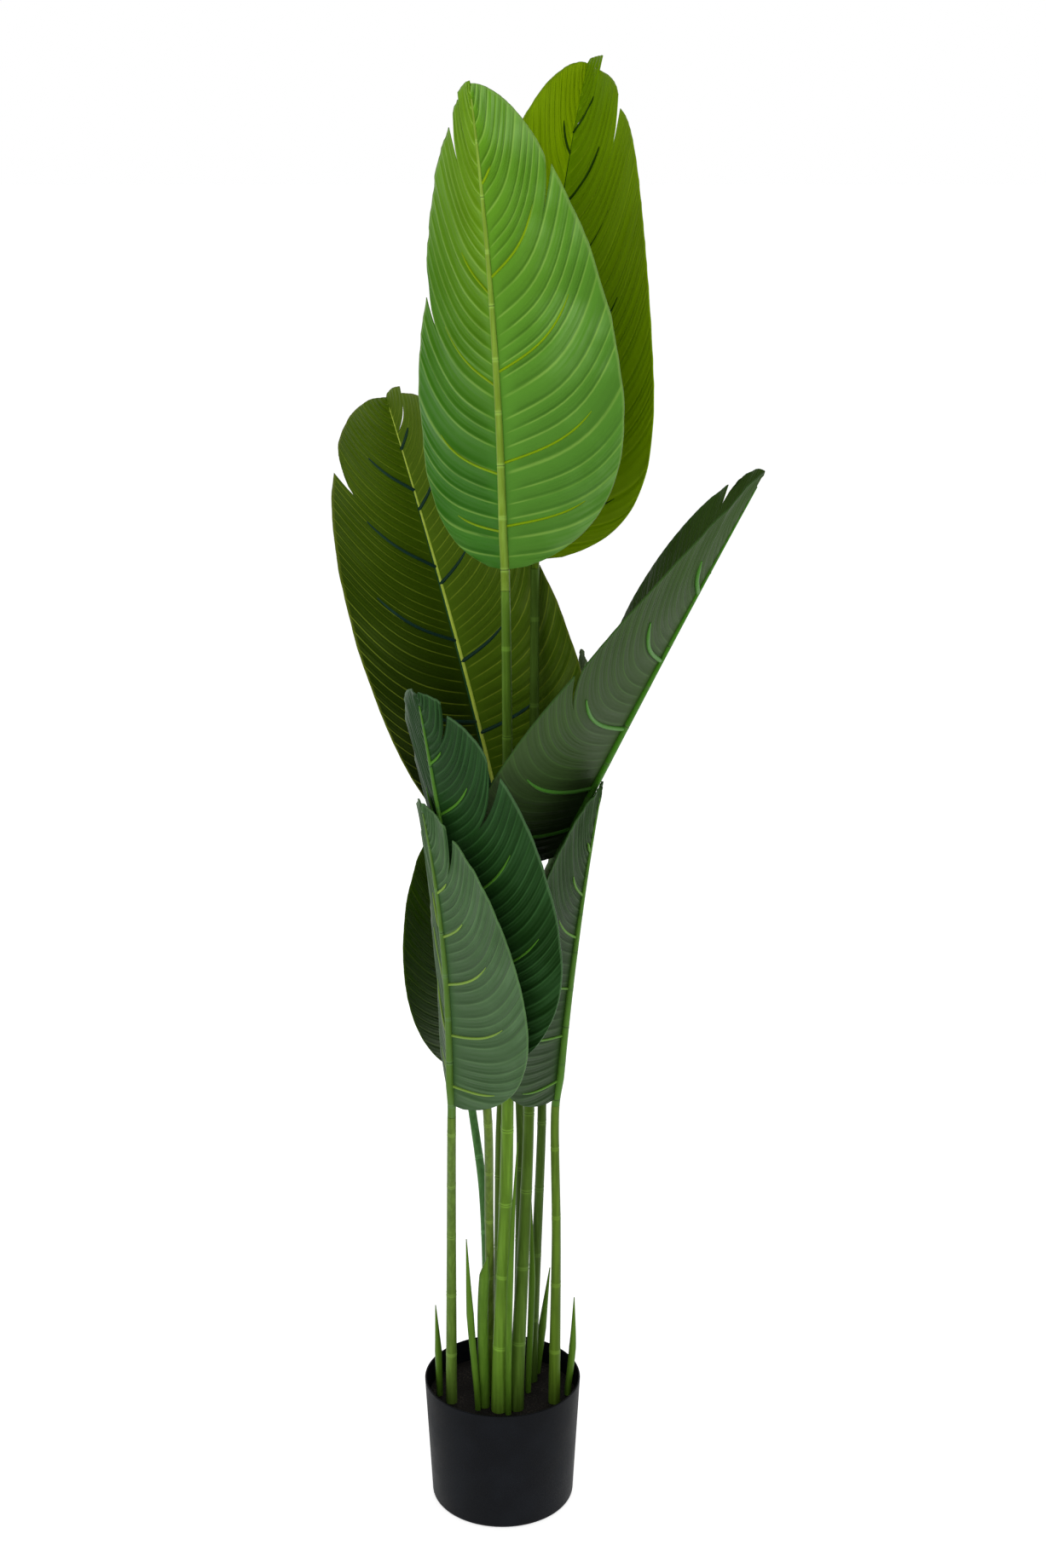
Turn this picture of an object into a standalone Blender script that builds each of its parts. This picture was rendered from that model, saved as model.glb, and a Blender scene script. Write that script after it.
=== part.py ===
# Artificial banana plant in a pot: nine leaves on nine stems and seven young shoots.
# Metres, +Z up. The origin is the middle of the pot's flat underside, and the front looks along -Y.
import bpy
import bmesh
import math
from mathutils import Vector

# Pot and fill
POT_HEIGHT = 0.151
RIM_RADIUS = 0.091
BASE_RADIUS = 0.083
POT_WALL = 0.0022
POT_FLOOR = 0.003
CORNER_RADIUS = 0.0045
CORNER_STEPS = 4
FILL_BELOW_RIM = 0.027
ROUND_SIDES = 48

# Fits
CLEARANCE = 0.0003
WELD = 0.00001

# Blade outline: the shape of the half width along the blade, apart from each leaf's own values
OUTLINE_SCALE = 1.18
OUTLINE_BASE_ROUND = 0.6
OUTLINE_TIP_POWER = 1.76

# The solid has points at VEIN_PLACES along the veins that meet the margin at VEIN_ENDS. VEIN_BOW
# holds the (power, share) pairs by which a vein rises from the midrib to the margin.
THICKNESS_RATIO = 0.0102
VEIN_PLACES = (0.0, 0.3, 0.6, 0.8, 1.0)
VEIN_ENDS = (0.012, 0.05, 0.1, 0.17, 0.25, 0.33, 0.41, 0.49, 0.57, 0.65, 0.73, 0.8, 0.86, 0.91, 0.95, 0.98)
VEIN_SPACING = 0.022
VEIN_BOW = ((1, 0.42), (4, 0.58))
PATH_STEPS = 60
SPLIT_REACH = 0.05

# Midribs and leaf stalks
MIDRIB_STATIONS = (0.0, 0.07, 0.15, 0.26, 0.38, 0.5, 0.64, 0.78, 0.9)
STALK_RADIUS = 0.0047
MIDRIB_TIP_RADIUS = 0.0028
MIDRIB_OUT = 0.6
ROD_SIDE_STEPS = 1

# Stems
STEM_SECTION_STEPS = 5
STEM_SIDE_STEPS = 2
STEM_PULL = 0.6

# Shoots
SHOOT_SECTION_STEPS = 3
SHOOT_SIDE_STEPS = 1
SHOOT_PULL = 0.5
SHOOT_TIP_RADIUS = 0.0006

SHARP_ANGLE = 0.7

# Each leaf. base is the blade's lowest point, and half_width is (left, right) seen from the front.
# In degrees, base to tip: lean is to the right, back is away from the front, and facing is the
# turn of the blade to the right. fold and curl bend the left and right halves back from the front.
# sweep is how steeply the veins rise towards the margin, fullness how blunt the base of each half
# is, and taper how pointed its tip is. A split is (side, place on the margin, where along its vein
# it starts, gap, rounding of the lobes below and above it), with side -1 on the left and 1 on the
# right. foot is where the stem stands on the fill, through is a point that its middle line passes,
# stalk is the bare stalk under the blade, and radius is that of the stem at its foot and at through.
LEAVES = {
    "leaf_top_front": dict(
        base=(0.0060, -0.1050, 1.1255), length=0.470, half_width=(0.1290, 0.1290), lean=(-1.0, -7.0),
        back=(9.0, -4.0), facing=(-30.0, -34.0), fold=(17.5, 12.0), curl=(2.9, -4.0), sweep=2.10,
        fullness=(6.0, 5.8), taper=(0.590, 0.555), underside_front=True,
        splits=(
            (-1, 0.970, 0.60, 0.0050, (0.00, 0.07)),
            (-1, 0.932, 0.70, 0.0120, (0.00, 0.24)),
            (-1, 0.590, 0.84, 0.0130, (0.02, 0.12)),
            (1, 0.834, 0.80, 0.0070, (0.00, 0.08)),
        ),
        stem="stem_top_front", foot=(-0.0036, -0.032), through=(0.0065, -0.052, 0.485), stalk=0.021,
        radius=(0.0096, 0.0070), colour=(0.075, 0.170, 0.030)),
    "leaf_top_back": dict(
        base=(0.0367, 0.0300, 1.1120), length=0.546, half_width=(0.1070, 0.1452), lean=(0.0, 13.0),
        back=(5.0, 31.0), facing=(20.0, -11.0), fold=(-33.0, -43.0), curl=(0.5, -20.1), sweep=2.15,
        fullness=(4.6, 7.4), taper=(0.555, 0.475), underside_front=False,
        splits=((1, 0.985, 0.00, 0.0100, (0.45, 0.10)), (1, 0.874, 0.78, 0.0168, (0.05, 0.15))),
        stem="stem_top_back", foot=(0.0165, -0.029), through=(0.030, -0.010, 0.464), stalk=0.009,
        radius=(0.0087, 0.0062), colour=(0.110, 0.190, 0.012)),
    "leaf_upper_left": dict(
        base=(0.0020, 0.0580, 0.7900), length=0.540, half_width=(0.1460, 0.1320), lean=(-11.0, -21.0),
        back=(-7.0, 47.0), facing=(28.0, -8.0), fold=(-44.0, -31.0), curl=(11.0, -12.0), sweep=1.70,
        fullness=(5.3, 5.8), taper=(0.515, 0.491), underside_front=False,
        splits=(
            (1, 0.980, 0.00, 0.0070, (0.20, 0.10)),
            (-1, 0.809, 0.83, 0.0092, (0.00, 0.14)),
            (1, 0.520, 0.85, 0.0060, (0.00, 0.03)),
        ),
        stem="stem_upper_left", foot=(-0.0045, 0.030), through=(-0.003, 0.037, 0.420), stalk=0.020,
        radius=(0.0060, 0.0052), colour=(0.050, 0.085, 0.016)),
    "leaf_right": dict(
        base=(0.0590, -0.0550, 0.8070), length=0.510, half_width=(0.1460, 0.1452), lean=(20.3, 27.0),
        back=(-35.0, -9.0), facing=(38.0, 70.0), fold=(0.5, 34.0), curl=(21.0, 22.0), sweep=1.90,
        fullness=(5.9, 4.8), taper=(0.555, 0.555), underside_front=True,
        splits=((-1, 0.586, 0.80, 0.0060, (0.00, 0.04)), (1, 0.933, 0.86, 0.0080, (0.00, 0.27))),
        stem="stem_right", foot=(0.035, 0.032), through=(0.045, 0.006, 0.456), stalk=0.020,
        radius=(0.0062, 0.0051), colour=(0.022, 0.050, 0.012)),
    "leaf_middle": dict(
        base=(-0.0190, -0.1510, 0.6020), length=0.455, half_width=(0.1190, 0.1150), lean=(-8.0, -7.0),
        back=(1.0, -30.0), facing=(-51.0, -24.0), fold=(38.0, 4.0), curl=(9.0, 19.0), sweep=1.97,
        fullness=(5.8, 5.8), taper=(0.555, 0.545), underside_front=True,
        splits=((1, 0.970, 0.60, 0.0180, (0.00, 0.18)), (1, 0.809, 0.60, 0.0160, (0.00, 0.16))),
        stem="stem_middle", foot=(-0.015, 0.002), through=(-0.014, -0.048, 0.366), stalk=0.015,
        radius=(0.0058, 0.0050), colour=(0.020, 0.070, 0.022)),
    "leaf_low_front": dict(
        base=(-0.0520, -0.1300, 0.5530), length=0.365, half_width=(0.1090, 0.1130), lean=(1.0, -9.0),
        back=(-3.0, -20.0), facing=(-56.0, -53.0), fold=(22.0, 7.0), curl=(6.5, 8.0), sweep=2.21,
        fullness=(6.0, 5.8), taper=(0.535, 0.555), underside_front=True,
        splits=((1, 0.939, 0.60, 0.0180, (0.00, 0.18)),), stem="stem_low_front",
        foot=(-0.0595, -0.015), through=(-0.0565, -0.055, 0.359), stalk=0.014, radius=(0.0066, 0.0053),
        colour=(0.060, 0.120, 0.055)),
    "leaf_low_right": dict(
        base=(0.0610, -0.0340, 0.5180), length=0.430, half_width=(0.1090, 0.1100), lean=(4.0, 7.8),
        back=(-15.0, -25.0), facing=(54.0, 51.4), fold=(2.0, 29.0), curl=(7.0, 4.0), sweep=2.41,
        fullness=(5.8, 5.5), taper=(0.555, 0.565), underside_front=True, splits=(),
        stem="stem_low_right", foot=(0.0605, -0.015), through=(0.062, -0.020, 0.341), stalk=0.009,
        radius=(0.0070, 0.0052), colour=(0.032, 0.075, 0.026)),
    "leaf_low_left": dict(
        base=(-0.0420, 0.1640, 0.4667), length=0.305, half_width=(0.1210, 0.1100), lean=(-3.0, -8.4),
        back=(15.0, 0.9), facing=(50.0, 25.0), fold=(-23.0, -20.0), curl=(5.0, -3.0), sweep=2.05,
        fullness=(6.1, 5.8), taper=(0.605, 0.555), underside_front=False, splits=(),
        stem="stem_low_left", foot=(-0.0185, 0.052), through=(-0.0235, 0.095, 0.338), stalk=0.015,
        radius=(0.0058, 0.0052), colour=(0.030, 0.055, 0.008)),
    "leaf_rear": dict(
        base=(0.0240, 0.0920, 0.5410), length=0.455, half_width=(0.1100, 0.1136), lean=(10.0, 6.8),
        back=(3.9, 12.5), facing=(72.0, 82.0), fold=(-20.2, -10.0), curl=(-3.0, 0.5), sweep=2.05,
        fullness=(5.8, 5.8), taper=(0.555, 0.501), underside_front=False,
        splits=((1, 0.929, 0.60, 0.0140, (0.00, 0.14)),), stem="stem_rear", foot=(0.018, 0.054),
        through=(0.021, 0.068, 0.417), stalk=0.020, radius=(0.0058, 0.0047),
        colour=(0.026, 0.055, 0.010)),
}

# Each shoot: foot on the fill, a point its middle line passes, tip, and the radius at the first two
SHOOTS = {
    "shoot_far_left": dict(
        foot=(-0.074, 0.000), through=(-0.075, -0.002, 0.183), tip=(-0.0775, -0.004, 0.244),
        radius=(0.0038, 0.0042)),
    "shoot_left": dict(
        foot=(-0.0284, -0.032), through=(-0.0365, -0.040, 0.253), tip=(-0.040, -0.045, 0.350),
        radius=(0.0034, 0.0043)),
    "shoot_sheath": dict(
        foot=(-0.0208, -0.024), through=(-0.0197, -0.0465, 0.305), tip=(-0.0155, -0.050, 0.331),
        radius=(0.0066, 0.0061)),
    "shoot_middle": dict(
        foot=(0.007, -0.0412), through=(0.0095, -0.055, 0.307), tip=(0.018, -0.056, 0.474),
        radius=(0.0036, 0.0038)),
    "shoot_rear": dict(
        foot=(0.030, 0.006), through=(0.0345, 0.010, 0.271), tip=(0.0335, 0.014, 0.367),
        radius=(0.0035, 0.0040)),
    "shoot_right": dict(
        foot=(0.041, 0.050), through=(0.047, 0.042, 0.190), tip=(0.0555, 0.030, 0.274),
        radius=(0.0045, 0.0048)),
    "shoot_far_right": dict(
        foot=(0.0765, 0.001), through=(0.082, 0.001, 0.187), tip=(0.0835, 0.001, 0.2515),
        radius=(0.0038, 0.0042)),
}

# Base colour and roughness
POT_LOOK = ((0.012, 0.014, 0.019), 0.6)
FILL_LOOK = ((0.016, 0.014, 0.013), 0.95)
STEM_LOOK = ((0.095, 0.180, 0.035), 0.5)
SHOOT_LOOK = ((0.060, 0.130, 0.020), 0.5)
LEAF_ROUGHNESS = 0.45


def clear_scene():
    for thing in list(bpy.data.objects):
        bpy.data.objects.remove(thing, do_unlink=True)


def make_collections():
    parts = bpy.data.collections.new("artificial_banana_plant")
    guides = bpy.data.collections.new("guides")
    bpy.context.scene.collection.children.link(parts)
    bpy.context.scene.collection.children.link(guides)
    return parts, guides


def give_material(thing, look):
    material = bpy.data.materials.new(thing.name + "_material")
    material.use_nodes = True
    shader = material.node_tree.nodes["Principled BSDF"]
    shader.inputs["Base Color"].default_value = (*look[0], 1.0)
    shader.inputs["Roughness"].default_value = look[1]
    thing.data.materials.append(material)


def shade(mesh):
    mesh.shade_smooth()
    mesh.set_sharp_from_angle(angle=SHARP_ANGLE)


def curve_to_mesh_object(curve_object, collection):
    # A closed mesh in place of the curve, with the rings at its ends welded to their caps.
    bpy.context.view_layer.update()
    evaluated = curve_object.evaluated_get(bpy.context.evaluated_depsgraph_get())
    mesh = bpy.data.meshes.new_from_object(evaluated)
    work = bmesh.new()
    work.from_mesh(mesh)
    bmesh.ops.remove_doubles(work, verts=work.verts, dist=WELD)
    bmesh.ops.recalc_face_normals(work, faces=work.faces)
    work.to_mesh(mesh)
    work.free()
    name = curve_object.name
    place = curve_object.matrix_world.copy()
    bpy.data.objects.remove(curve_object, do_unlink=True)
    mesh.name = name
    result = bpy.data.objects.new(name, mesh)
    result.matrix_world = place
    collection.objects.link(result)
    return result


def start_curve(name, side_steps, section_steps):
    data = bpy.data.curves.new(name, "CURVE")
    data.dimensions = "3D"
    data.bevel_depth = 1.0
    data.bevel_resolution = side_steps
    data.resolution_u = section_steps
    data.use_fill_caps = True
    return data


def bent_rod(name, knots, pulls, radii, side_steps, section_steps, collection):
    # A round rod through three knots, with its own direction and pull at each of them.
    data = start_curve(name, side_steps, section_steps)
    spline = data.splines.new("BEZIER")
    spline.radius_interpolation = "LINEAR"
    spline.bezier_points.add(len(knots) - 1)
    for point, knot, pull, radius in zip(spline.bezier_points, knots, pulls, radii):
        point.handle_left_type = "FREE"
        point.handle_right_type = "FREE"
        point.co = knot - knots[0]
        point.handle_left = point.co - pull[0] / 3.0
        point.handle_right = point.co + pull[1] / 3.0
        point.radius = radius
    rod = bpy.data.objects.new(name, data)
    rod.location = knots[0]
    collection.objects.link(rod)
    return curve_to_mesh_object(rod, collection)


def rod_pulls(knots, foot_pull, last_direction, last_pull):
    # The rod leaves its foot straight up, so its foot is flat, and it is smooth at its middle knot.
    first = knots[1] - knots[0]
    second = knots[2] - knots[1]
    middle = (first.normalized() + second.normalized()).normalized()
    up = Vector((0.0, 0.0, first.length * foot_pull))
    return (
        (up, up),
        (middle * first.length, middle * second.length),
        (last_direction * second.length * last_pull,) * 2,
    )


def blend(pair, part):
    return pair[0] + (pair[1] - pair[0]) * part


def midrib_frames(leaf):
    # Point, direction, front normal and direction to the right at even steps along the midrib.
    frames = []
    step = leaf["length"] / PATH_STEPS
    for index in range(PATH_STEPS + 1):
        part = index / PATH_STEPS
        lean = math.radians(blend(leaf["lean"], part))
        back = math.radians(blend(leaf["back"], part))
        facing = math.radians(blend(leaf["facing"], part))
        along = Vector((math.tan(lean), math.tan(back), 1.0)).normalized()
        if frames:
            point = frames[-1][0] + (frames[-1][1] + along) * (step / 2.0)
        else:
            point = Vector(leaf["base"])
        front = Vector((math.sin(facing), -math.cos(facing), 0.0))
        front = (front - along * front.dot(along)).normalized()
        frames.append((point, along, front, along.cross(front)))
    return frames


def frame_at(frames, part):
    place = min(max(part, 0.0), 1.0) * PATH_STEPS
    index = min(int(place), PATH_STEPS - 1)
    mix = place - index
    return tuple(low.lerp(high, mix) for low, high in zip(frames[index], frames[index + 1]))


def outline(part, fullness, taper):
    base = (1.0 - (1.0 - part) ** fullness) ** OUTLINE_BASE_ROUND
    tip = (1.0 - part ** OUTLINE_TIP_POWER) ** taper
    return OUTLINE_SCALE * base * tip


def blade_point(leaf, frames, side, end, lobe, place):
    # One point of the vein that meets the margin at end. lobe says which side of a split it is on.
    start = 1.0 - (1.0 - end) ** (1.0 / leaf["sweep"])
    along = blend((start, end), sum(share * place ** power for power, share in VEIN_BOW))
    column = 0 if side < 0 else 1
    reach = leaf["half_width"][column] * place
    reach *= outline(end, leaf["fullness"][column], leaf["taper"][column])
    for split_side, split_end, split_start, gap, rounding in leaf["splits"]:
        if split_side != side or place <= split_start:
            continue
        open_part = (place - split_start) / (1.0 - split_start)
        fade = math.exp(-abs(end - split_end) / SPLIT_REACH)
        above = end > split_end or (end == split_end and lobe > 0)
        along += gap * open_part * fade * (1.0 if above else -1.0)
        reach *= 1.0 - rounding[1 if above else 0] * open_part ** 2 * fade
    fold = math.radians(leaf["fold"][column])
    bend = math.radians(leaf["curl"][column]) / leaf["half_width"][column]
    out = (math.sin(fold + bend * reach) - math.sin(fold)) / bend
    forward = (math.cos(fold + bend * reach) - math.cos(fold)) / bend
    point, direction, front, right = frame_at(frames, along)
    beyond = max(along - 1.0, 0.0) * leaf["length"]
    return point + direction * beyond + right * (side * out) + front * forward


def blade_rows(leaf, side):
    # Vein ends from base to tip, with a row on each side of every split of this half.
    splits = {split[1]: split for split in leaf["splits"]}
    ends = [end for end in VEIN_ENDS if all(abs(end - split) > VEIN_SPACING for split in splits)]
    rows = []
    for end in sorted(ends + list(splits)):
        if end in splits and splits[end][0] == side:
            rows.append((end, -1))
            rows.append((end, 1))
        else:
            rows.append((end, 0))
    return rows


def make_blade(name, leaf, frames, collection):
    base = Vector(leaf["base"])
    work = bmesh.new()
    first = work.verts.new(frames[0][0] - base)
    last = work.verts.new(frames[-1][0] - base)
    starts = {split[:2]: split[2] for split in leaf["splits"]}
    midrib = {}
    for side in (-1, 1):
        grid = []
        for end, lobe in blade_rows(leaf, side):
            row = []
            for column, place in enumerate(VEIN_PLACES):
                joined = lobe > 0 and place <= starts[(side, end)]
                if column == 0 and end in midrib:
                    row.append(midrib[end])
                elif joined:
                    row.append(grid[-1][column])
                else:
                    spot = blade_point(leaf, frames, side, end, lobe, place)
                    row.append(work.verts.new(spot - base))
            midrib[end] = row[0]
            grid.append(row)
        rows = blade_rows(leaf, side)
        for (low_key, low), (high_key, high) in zip(zip(rows, grid), zip(rows[1:], grid[1:])):
            if low_key[0] == high_key[0]:
                continue
            for column in range(len(VEIN_PLACES) - 1):
                corners = (low[column], low[column + 1], high[column + 1], high[column])
                work.faces.new(corners if side > 0 else corners[::-1])
        for column in range(len(VEIN_PLACES) - 1):
            below = (first, grid[0][column + 1], grid[0][column])
            above = (last, grid[-1][column], grid[-1][column + 1])
            work.faces.new(below if side > 0 else below[::-1])
            work.faces.new(above if side > 0 else above[::-1])
    bmesh.ops.triangulate(work, faces=work.faces)
    bmesh.ops.recalc_face_normals(work, faces=work.faces)
    mesh = bpy.data.meshes.new(name)
    work.to_mesh(mesh)
    work.free()
    blade = bpy.data.objects.new(name, mesh)
    blade.location = base
    collection.objects.link(blade)
    solid = blade.modifiers.new("thickness", "SOLIDIFY")
    solid.thickness = THICKNESS_RATIO * leaf["length"]
    solid.offset = 0.0
    solid.use_even_offset = True
    return blade


def make_midrib(name, leaf, frames, collection):
    # The bare stalk and the midrib in one rod, which lies against the underside of the blade.
    outward = MIDRIB_OUT if leaf["underside_front"] else -MIDRIB_OUT
    points = [(frames[0][0] - frames[0][1] * leaf["stalk"], STALK_RADIUS)]
    for station in MIDRIB_STATIONS:
        point, _, front, _ = frame_at(frames, station)
        radius = blend((STALK_RADIUS, MIDRIB_TIP_RADIUS), station / MIDRIB_STATIONS[-1])
        settle = min(station / MIDRIB_STATIONS[1], 1.0)
        points.append((point + front * (outward * radius * settle), radius))
    data = start_curve(name, ROD_SIDE_STEPS, 1)
    spline = data.splines.new("POLY")
    spline.points.add(len(points) - 1)
    for target, (point, radius) in zip(spline.points, points):
        target.co = (*(point - frames[0][0]), 1.0)
        target.radius = radius
    rod = bpy.data.objects.new(name, data)
    rod.location = leaf["base"]
    collection.objects.link(rod)
    return curve_to_mesh_object(rod, collection)


def make_leaf(name, leaf, parts, guides):
    frames = midrib_frames(leaf)
    blade = make_blade(name, leaf, frames, parts)
    midrib = make_midrib(name + "_midrib", leaf, frames, guides)
    midrib.hide_render = True
    midrib.display_type = "WIRE"
    union = blade.modifiers.new("midrib", "BOOLEAN")
    union.operation = "UNION"
    union.solver = "MANIFOLD"
    union.object = midrib
    give_material(blade, (leaf["colour"], LEAF_ROUGHNESS))
    shade(blade.data)
    return frames


def make_stem(leaf, frames, parts):
    direction = frames[0][1]
    knots = (
        Vector((*leaf["foot"], POT_HEIGHT - FILL_BELOW_RIM + CLEARANCE)),
        Vector(leaf["through"]),
        frames[0][0] - direction * (leaf["stalk"] + CLEARANCE),
    )
    pulls = rod_pulls(knots, STEM_PULL, direction, STEM_PULL)
    radii = (*leaf["radius"], STALK_RADIUS)
    stem = bent_rod(leaf["stem"], knots, pulls, radii, STEM_SIDE_STEPS, STEM_SECTION_STEPS, parts)
    give_material(stem, STEM_LOOK)
    shade(stem.data)


def make_shoot(name, shoot, parts):
    knots = (
        Vector((*shoot["foot"], POT_HEIGHT - FILL_BELOW_RIM + CLEARANCE)),
        Vector(shoot["through"]),
        Vector(shoot["tip"]),
    )
    pulls = rod_pulls(knots, SHOOT_PULL, (knots[2] - knots[1]).normalized(), 1.0)
    radii = (*shoot["radius"], SHOOT_TIP_RADIUS)
    rod = bent_rod(name, knots, pulls, radii, SHOOT_SIDE_STEPS, SHOOT_SECTION_STEPS, parts)
    give_material(rod, SHOOT_LOOK)
    shade(rod.data)


def corner(radius, height, turn):
    # Rounded lower corner of the given radius that ends the wall at (radius, height).
    points = []
    for index in range(CORNER_STEPS + 1):
        angle = math.pi / 2.0 * index / CORNER_STEPS
        points.append((radius - turn * (1.0 - math.cos(angle)), height + turn * (1.0 - math.sin(angle))))
    return points


def spin(name, profile, closed, parts):
    # A round body from an (out, up) profile.
    mesh = bpy.data.meshes.new(name)
    verts = [(out, 0.0, up) for out, up in profile]
    edges = [(index, index + 1) for index in range(len(verts) - 1)]
    if closed:
        edges.append((len(verts) - 1, 0))
    mesh.from_pydata(verts, edges, [])
    body = bpy.data.objects.new(name, mesh)
    parts.objects.link(body)
    screw = body.modifiers.new("round", "SCREW")
    screw.axis = "Z"
    screw.steps = ROUND_SIDES
    screw.render_steps = ROUND_SIDES
    screw.use_merge_vertices = True
    screw.merge_threshold = WELD
    screw.use_smooth_shade = True
    return body


def wall_radius(height):
    return BASE_RADIUS + (RIM_RADIUS - BASE_RADIUS) * height / POT_HEIGHT


def make_pot(parts):
    outer = [(RIM_RADIUS, POT_HEIGHT)]
    outer += corner(wall_radius(CORNER_RADIUS), 0.0, CORNER_RADIUS)
    outer += [(0.0, 0.0), (0.0, POT_FLOOR)]
    inner = corner(wall_radius(POT_FLOOR + CORNER_RADIUS) - POT_WALL, POT_FLOOR, CORNER_RADIUS)
    profile = outer + inner[::-1] + [(RIM_RADIUS - POT_WALL, POT_HEIGHT)]
    pot = spin("pot", profile, True, parts)
    give_material(pot, POT_LOOK)


def make_fill(parts):
    top = POT_HEIGHT - FILL_BELOW_RIM
    bottom = POT_FLOOR + CLEARANCE
    inset = POT_WALL + CLEARANCE
    profile = [(0.0, top), (wall_radius(top) - inset, top)]
    profile += corner(wall_radius(bottom + CORNER_RADIUS) - inset, bottom, CORNER_RADIUS)
    profile += [(0.0, bottom)]
    fill = spin("fill", profile, False, parts)
    give_material(fill, FILL_LOOK)


def main():
    clear_scene()
    parts, guides = make_collections()
    make_pot(parts)
    make_fill(parts)
    for name, leaf in LEAVES.items():
        frames = make_leaf(name, leaf, parts, guides)
        make_stem(leaf, frames, parts)
    for name, shoot in SHOOTS.items():
        make_shoot(name, shoot, parts)


main()
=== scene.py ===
# Artificial banana plant in a pot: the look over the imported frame, in metres, +Z up, front towards -Y.
import bpy
import bmesh
import math
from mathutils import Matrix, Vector


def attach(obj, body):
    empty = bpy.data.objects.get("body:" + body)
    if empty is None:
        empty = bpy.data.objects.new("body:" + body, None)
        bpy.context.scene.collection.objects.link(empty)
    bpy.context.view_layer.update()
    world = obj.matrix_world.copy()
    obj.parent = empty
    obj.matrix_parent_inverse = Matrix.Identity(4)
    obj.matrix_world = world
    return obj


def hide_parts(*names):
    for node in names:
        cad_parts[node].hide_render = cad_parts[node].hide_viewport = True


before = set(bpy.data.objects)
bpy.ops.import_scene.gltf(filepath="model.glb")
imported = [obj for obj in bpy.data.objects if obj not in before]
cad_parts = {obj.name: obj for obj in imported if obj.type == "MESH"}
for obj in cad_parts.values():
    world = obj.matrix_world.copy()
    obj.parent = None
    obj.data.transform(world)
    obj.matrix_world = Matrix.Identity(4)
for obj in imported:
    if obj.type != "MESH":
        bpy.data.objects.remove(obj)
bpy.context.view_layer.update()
print("frame loaded:", len(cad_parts), "nodes")


# Sockets with arithmetic, for geometry trees and shaders alike

class Wire:
    def __init__(self, socket):
        self.socket = socket
        self.tree = socket.id_data

    @staticmethod
    def add(tree, kind, settings=None, sockets=None, out=0):
        node = tree.nodes.new(kind)
        for name, value in (settings or {}).items():
            if name != "stops":
                setattr(node, name, value)
                continue
            ramp = node.color_ramp                   # stops are (place, colour) pairs
            while len(ramp.elements) < len(value):
                ramp.elements.new(0.5)
            for element, (place, colour) in zip(ramp.elements, value):
                element.position = place
                element.color = (*colour, 1.0)
        for key, value in (sockets or {}).items():
            socket = node.inputs[key]
            if isinstance(value, Wire):
                tree.links.new(value.socket, socket)
            elif socket.type == "RGBA":
                socket.default_value = (*value, 1.0)
            else:
                socket.default_value = value
        return Wire(node.outputs[out])

    def other(self, name):                           # another output of the same node
        return Wire(self.socket.node.outputs[name])

    def math(self, operation, *others):
        return Wire.add(self.tree, "ShaderNodeMath", {"operation": operation}, dict(enumerate((self, *others))))

    def reflected(self, operation, first):
        return Wire.add(self.tree, "ShaderNodeMath", {"operation": operation}, {0: first, 1: self})

    def __add__(self, other):
        return self.math("ADD", other)

    def __radd__(self, other):
        return self.reflected("ADD", other)

    def __sub__(self, other):
        return self.math("SUBTRACT", other)

    def __rsub__(self, other):
        return self.reflected("SUBTRACT", other)

    def __mul__(self, other):
        return self.math("MULTIPLY", other)

    def __rmul__(self, other):
        return self.reflected("MULTIPLY", other)

    def __truediv__(self, other):
        return self.math("DIVIDE", other)

    def __pow__(self, other):
        return self.math("POWER", other)

    def __neg__(self):
        return self.math("MULTIPLY", -1.0)

    def __gt__(self, other):
        return self.math("GREATER_THAN", other)

    def __lt__(self, other):
        return self.math("LESS_THAN", other)

    def sin(self):
        return self.math("SINE")

    def cos(self):
        return self.math("COSINE")

    def exp(self):
        return self.math("EXPONENT")

    def abs(self):
        return self.math("ABSOLUTE")

    def clamped(self, low=0.0, high=1.0):
        return self.math("MAXIMUM", low).math("MINIMUM", high)

    def smooth(self, low, high):                     # 0 below low, 1 above high
        return Wire.add(self.tree, "ShaderNodeMapRange", {"interpolation_type": "SMOOTHSTEP"},
                        {"Value": self, "From Min": low, "From Max": high})

    def vector(self, operation, *others, out=0):
        return Wire.add(self.tree, "ShaderNodeVectorMath", {"operation": operation},
                        dict(enumerate((self, *others))), out)

    def scaled(self, factor):
        return Wire.add(self.tree, "ShaderNodeVectorMath", {"operation": "SCALE"}, {0: self, "Scale": factor})

    def split(self):
        x = Wire.add(self.tree, "ShaderNodeSeparateXYZ", None, {0: self})
        return x, x.other("Y"), x.other("Z")

    def between(self, low, high):                    # a colour: low where this is 0, high where it is 1
        return Wire.add(self.tree, "ShaderNodeMix", {"data_type": "RGBA"}, {0: self, 6: low, 7: high}, 2)


def joined(tree, x, y, z):
    return Wire.add(tree, "ShaderNodeCombineXYZ", None, {"X": x, "Y": y, "Z": z})


def paint(red, green, blue):                         # a screen colour of 0 to 255 as Blender holds it
    return tuple((((part / 255.0) + 0.055) / 1.055) ** 2.4 if part > 10 else part / 255.0 / 12.92
                 for part in (red, green, blue))


# Geometry trees and plain meshes

socketKinds = {"float": "NodeSocketFloat", "int": "NodeSocketInt", "object": "NodeSocketObject",
               "material": "NodeSocketMaterial"}


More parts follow.
